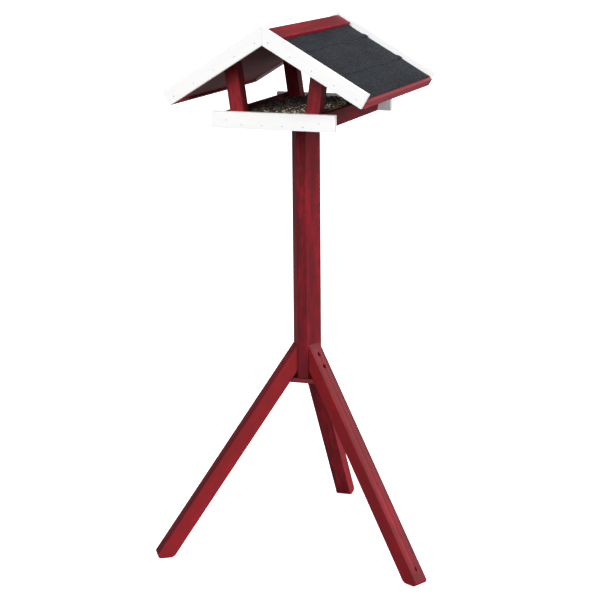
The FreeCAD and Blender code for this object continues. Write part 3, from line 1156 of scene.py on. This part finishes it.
screw = screw_model("plate_screw_model", radius=1.75 * mm, head_radius=3.5 * mm, length=15.0 * mm)
ring = [(plate_screw_ring, 0), (0, plate_screw_ring), (-plate_screw_ring, 0), (0, -plate_screw_ring)]
places = [(Vector((x, y, post_head)), (0, 0, -1)) for x, y in ring]
copies("head_plate_screws_cut", screw, places, zinc, "head_plate_screws")
bpy.data.objects.remove(screw)

screw = screw_model("end_screw_model", radius=2.0 * mm, head_radius=4.0 * mm, length=45.0 * mm)
places = [(Vector((0, 0, plate_bottom)), (0, 0, -1))]
for x in (-end_screw_offset, end_screw_offset):
    places.append((Vector((x, 0, end_screw_seat)), (0, 0, 1)))
copies("post_end_screws_cut", screw, places, zinc, "post_end_screws")
bpy.data.objects.remove(screw)
print("Screws through the legs, the head plate and the ends of the post")

# %% [markdown]
# ## Four kinds of seed
#
# A mixed feed has striped sunflower seeds, wheat, broken maize and millet. A picture of seed
# on a flat sheet would look flat from the side, so each seed is a small solid. Each kind is
# modelled once with twenty to forty faces: a ball drawn out to an egg for the whole seeds, and a
# ball with corners for the broken and the small ones.

# %% Seed models
def seed_model(name, size, segments, rings, point):
    """An egg shape that lies along X, drawn out to a point at one end."""
    length, width, thickness = size
    piece = primitive(name, bpy.ops.mesh.primitive_uv_sphere_add, segments=segments,
                      ring_count=rings, radius=0.5, rotation=(0, math.pi / 2, 0))
    for vertex in piece.data.vertices:
        narrow = 1 - point * max(0.0, vertex.co.x + 0.1)
        x, y, z = vertex.co
        vertex.co = Vector((x * length, y * width * narrow, z * thickness * narrow))
    return piece


def crumb_model(name, size):
    """A lump with twenty faces, each corner pushed in or out."""
    piece = primitive(name, bpy.ops.mesh.primitive_ico_sphere_add, subdivisions=1, radius=0.5)
    for vertex in piece.data.vertices:
        stretch = chance.uniform(0.75, 1.15)
        x, y, z = vertex.co
        vertex.co = Vector((x * size[0], y * size[1], z * size[2])) * stretch
    return piece


sunflower_size = (11.0 * mm, 5.6 * mm, 3.6 * mm)
wheat_size = (6.4 * mm, 3.2 * mm, 2.9 * mm)
maize_size = (7.4 * mm, 6.0 * mm, 4.4 * mm)
millet_size = (2.6 * mm, 2.5 * mm, 2.3 * mm)
sunflower = seed_model("sunflower_model", sunflower_size, segments=8, rings=5, point=0.9)
wheat = seed_model("wheat_model", wheat_size, segments=6, rings=5, point=0.4)
maize = crumb_model("maize_model", maize_size)
millet = crumb_model("millet_model", millet_size)
kinds = [("sunflower", sunflower, 2300), ("wheat", wheat, 1100), ("maize", maize, 700),
         ("millet", millet, 1500)]
print("Four kinds of seed,", sum(number for _, _, number in kinds), "in all")

# %% [markdown]
# ## The bed of crumbs
#
# A bed of crumbs fills the tray under the loose seed. It is a grid whose points follow slow
# hills and sink a little along the edges of the tray, each moved a little by lot, with
# Solidify to give it a body.

# %% The bed
seed_top = 977.0 * mm


def bed_height(x, y):
    """The seed lies a little unevenly, and lower along the edges of the tray."""
    hills = 0.9 * mm * math.sin(x * 47 + 1) * math.sin(y * 29) + 0.7 * mm * math.sin(x * 83 - y * 61)
    edge = min(tray_inner - abs(y), leaning_x(seed_top) - abs(x))
    return seed_top - 3.2 * mm + hills - 2.5 * mm * math.exp(-max(edge, 0) / (12 * mm))


bed = primitive("seed_bed", bpy.ops.mesh.primitive_grid_add, x_subdivisions=60,
                y_subdivisions=116, size=1)
for point in bed.data.vertices:
    x = point.co.x * 2 * (leaning_x(seed_top) - 0.6 * mm)
    y = point.co.y * 2 * (tray_inner - 0.5 * mm)
    point.co = Vector((x, y, bed_height(x, y) + chance.uniform(-0.5, 0.5) * mm))
finish_with(bed, "SOLIDIFY", thickness=4 * mm, offset=-1.0)
smooth(bed)
print("A bed of", len(bed.data.polygons), "faces")

# %% [markdown]
# ## Scattering the seed
#
# The dark sunflower seed lies everywhere, and the pale seed is put mostly at the front and
# right as painted light, so that part of the tray looks lit and the left and back shaded.
# Where a seed would lie is drawn by lot, and the lot is thrown again if the place is taken by
# an upright, or if the pale seed is rare there. Thousands of copies would take long one by
# one, so the copies' points and faces are worked out together and given to one mesh for each
# kind. Each seed keeps a tone of its own for its colour.

# %% Scattering the seed
edge_room = 3.5 * mm


def in_tray(x, y):
    """Whether a seed has room here, between the sides and clear of the uprights."""
    width = leaning_x(seed_top) - edge_room
    if abs(x) > width or abs(y) > tray_inner - edge_room:
        return False
    by_side = abs(x) > width - upright_size - 1 * mm
    return not (by_side and abs(y) > tray_inner - upright_size - 4 * mm)


def everywhere(x, y):
    return 1.0


# Painted light: the pale seed is put mostly at the front and right, where the tray looks lit.
def painted_light_share(x, y):
    return 0.04 + 0.96 * clamped((x - 0.35 * y + 14 * mm) / (90 * mm))


def scatter(name, model, number, share):
    """One mesh with a number of copies of a seed, each with its own place, turn, size and tone."""
    corners = [point.co.copy() for point in model.data.vertices]
    face_corners = [list(face.vertices) for face in model.data.polygons]
    points, polygons, tones, widths = [], [], [], []
    while len(tones) < number * len(corners):
        x = chance.uniform(-tray_half_width, tray_half_width)
        y = chance.uniform(-tray_inner, tray_inner)
        if not in_tray(x, y) or chance.random() > share(x, y):
            continue
        turn = Matrix.Rotation(chance.uniform(0, 2 * math.pi), 4, "Z")
        tip = Matrix.Rotation(chance.gauss(0, 0.28), 4, "Y")
        roll = Matrix.Rotation(chance.uniform(0, 2 * math.pi), 4, "X")
        z = bed_height(x, y) + chance.uniform(0.2, 3.0) * mm
        size = Matrix.Scale(chance.uniform(0.82, 1.12), 4)
        move = Matrix.Translation((x, y, z)) @ turn @ (tip @ roll) @ size
        first = len(points)
        points.extend(move @ corner for corner in corners)
        polygons.extend([first + index for index in face] for face in face_corners)
        tones.extend([chance.random()] * len(corners))
        widths.extend(corner.y for corner in corners)
    mesh = bpy.data.meshes.new(name)
    mesh.from_pydata(points, [], polygons)
    mesh.attributes.new("tone", "FLOAT", "POINT").data.foreach_set("value", tones)
    mesh.attributes.new("across", "FLOAT", "POINT").data.foreach_set("value", widths)
    piece = bpy.data.objects.new(name, mesh)
    bpy.context.scene.collection.objects.link(piece)
    only(piece)
    bpy.ops.object.shade_smooth()
    return piece


print("Ready to scatter")

# %% [markdown]
# ## The look of the seed
#
# One recipe serves all the kinds: a colour between a dark and a light one, drawn by each
# seed's tone, with small dark spots. The sunflower seed also has pale stripes along it, which
# are waves across its width, stored when the seeds were scattered.

# %% The finishes of the seed
stripe_spacing = 0.0022


def seed_finish(name, dark, light, stripe=None):
    finish = Finish(name)
    _, tone = finish.attribute("tone")
    spots = finish.noise(finish.place(), 900.0, 2.0)
    colour = finish.mix(tone, dark, light)
    colour = finish.mix(spots.above(0.5, 0.75) * 0.4, colour, dark)
    if stripe:
        _, across = finish.attribute("across")
        lines = (across * (2 * math.pi / stripe_spacing)).wave().above(0.55, 0.85)
        colour = finish.mix(lines * 0.85, colour, stripe)
    finish.set(Base_Color=colour, Roughness=spots * 0.3 + 0.45, Specular_IOR_Level=0.2)
    finish.bump(spots, 0.0002, 0.6)
    return finish.material


shell_colours = (paint(11, 9, 9), paint(32, 26, 24), paint(120, 112, 100))
seed_finishes = {
    "sunflower": seed_finish("sunflower_shell", *shell_colours),
    "wheat": seed_finish("wheat_grain", paint(88, 68, 50), paint(168, 146, 112)),
    "maize": seed_finish("broken_maize", paint(170, 146, 108), paint(246, 238, 220)),
    "millet": seed_finish("millet_grain", paint(110, 90, 66), paint(240, 230, 208)),
}
crumbs = seed_finish("seed_crumbs", paint(12, 9, 8), paint(26, 19, 16))
made.append(hand_over(bed, crumbs, "seed", "seed_fill"))
for kind, model, number in kinds:
    share = everywhere if kind == "sunflower" else painted_light_share
    piece = scatter("seed_" + kind, model, number, share)
    made.append(hand_over(piece, seed_finishes[kind], "seed", "seed_fill"))
    bpy.data.objects.remove(model)
    print(len(piece.data.polygons), "faces of", kind)

# %% [markdown]
# ## Nails that stay as packed
#
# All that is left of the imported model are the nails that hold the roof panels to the
# uprights. They are hidden in the wood, and still get their finish.

# %% Finishing the nails that stay
replaced = {name for piece in made for name in piece["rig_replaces"]}
left_over = sorted(set(nodes) - replaced)
for name in left_over:
    nodes[name].data.materials.clear()
    nodes[name].data.materials.append(zinc)
print("Left as packed:", ", ".join(left_over))

# %% [markdown]
# ## A plain studio
#
# The table stands on a wide pale floor under a white sky. The camera sees both as white,
# while the light that they give to the table stays at a plain level, because Light Path tells
# the two apart. What the table mirrors is white too to the right and above, and grows dim
# towards the left and on the floor: white on every side would lie over the dark glaze like a
# veil. The floor keeps the table's shadow.

# %% The floor
def seen_by(graph):
    """1 for rays from the camera, and 1 for rays that are mirrored or let through, else 0."""
    path = graph.node("ShaderNodeLightPath")
    names = ("Is Camera Ray", "Is Glossy Ray", "Is Transmission Ray")
    camera_ray, glossy, through = (Number(graph, path.outputs[name]) for name in names)
    return camera_ray, glossy.most(through)


ground = primitive("studio_floor", bpy.ops.mesh.primitive_plane_add, size=120,
                   location=(0, 0, 0))
pale = Finish("pale_floor")
in_view, mirrored = seen_by(pale)
tone = pale.mix(in_view.most(mirrored * 0.07), paint(125, 125, 125), paint(246, 246, 246))
lit = pale.node("ShaderNodeBsdfDiffuse", None, {"Color": tone})
own = pale.node("ShaderNodeEmission", None, {"Strength": in_view * 0.75})
both = pale.node("ShaderNodeAddShader", None, {0: lit.outputs[0], 1: own.outputs[0]})
pale.fill(pale.tree.nodes["Material Output"].inputs["Surface"], both.outputs[0])
ground.data.materials.append(pale.material)
print("A floor, 120 m wide")

# %% [markdown]
# ## The sky
#
# The sky is one plain white, and only its strength changes. To the camera it is 1, which is
# white. What the table mirrors and the soft light that falls on it both rise from the left to
# the right and upwards, as beside a large window.

# %% The world
def make_world(dim, bright):
    """White to look at. Its light goes from dim on the left and below to bright on the right and above."""
    world = bpy.data.worlds.new("studio")
    world.use_nodes = True
    bpy.context.scene.world = world
    studio = Graph(world.node_tree)
    sky = world.node_tree.nodes["Background"]
    sky.inputs["Color"].default_value = (1, 1, 1, 1)
    way = studio.node("ShaderNodeTexCoord").outputs["Generated"]
    brightest = (0.85, 0.0, 0.53)
    facing = studio.node("ShaderNodeVectorMath", {"operation": "DOT_PRODUCT"},
                         {0: way, 1: brightest})
    sweep = Number(studio, facing.outputs["Value"]).above(0.2, 0.98)
    in_view, mirrored = seen_by(studio)
    seen_in_gloss = sweep * 0.95 + 0.05
    soft = sweep * (bright - dim) + dim
    unseen = mirrored * seen_in_gloss + (1 - mirrored) * soft
    studio.fill(sky.inputs["Strength"], in_view + (1 - in_view) * unseen)


make_world(dim=0.07, bright=0.3)
print("A white surround")

# %% [markdown]
# ## The lamps
#
# Four wide, far lamps light the table softly. The front lamp lights the gable, and a low one
# from the right draws the eave's shadow on the side of the tray. One from the right and
# behind lights the slope of the roof, and one from the left and behind lights the sides that
# the photograph doesn't show, so that the table looks right from there too.

# %% The lamps
def studio_lamp(name, heading, height, width, strength):
    """A wide, far lamp. Its heading is counted from the front of the house towards the right."""
    light = bpy.data.lights.new(name, "SUN")
    light.angle = math.radians(width)
    light.energy = strength
    lamp = bpy.data.objects.new(name, light)
    bpy.context.scene.collection.objects.link(lamp)
    turn = Matrix.Rotation(math.radians(heading), 4, "Z")
    lamp.matrix_world = turn @ Matrix.Rotation(math.radians(90 - height), 4, "X")


studio_lamp("front_lamp", heading=-2, height=26, width=40, strength=2.42)
studio_lamp("low_lamp", heading=74, height=13, width=16, strength=1.7)
studio_lamp("top_lamp", heading=120, height=38, width=40, strength=1.8)
studio_lamp("back_lamp", heading=228, height=48, width=40, strength=0.9)
bpy.context.scene.view_settings.view_transform = "Standard"
print("Four wide lamps")
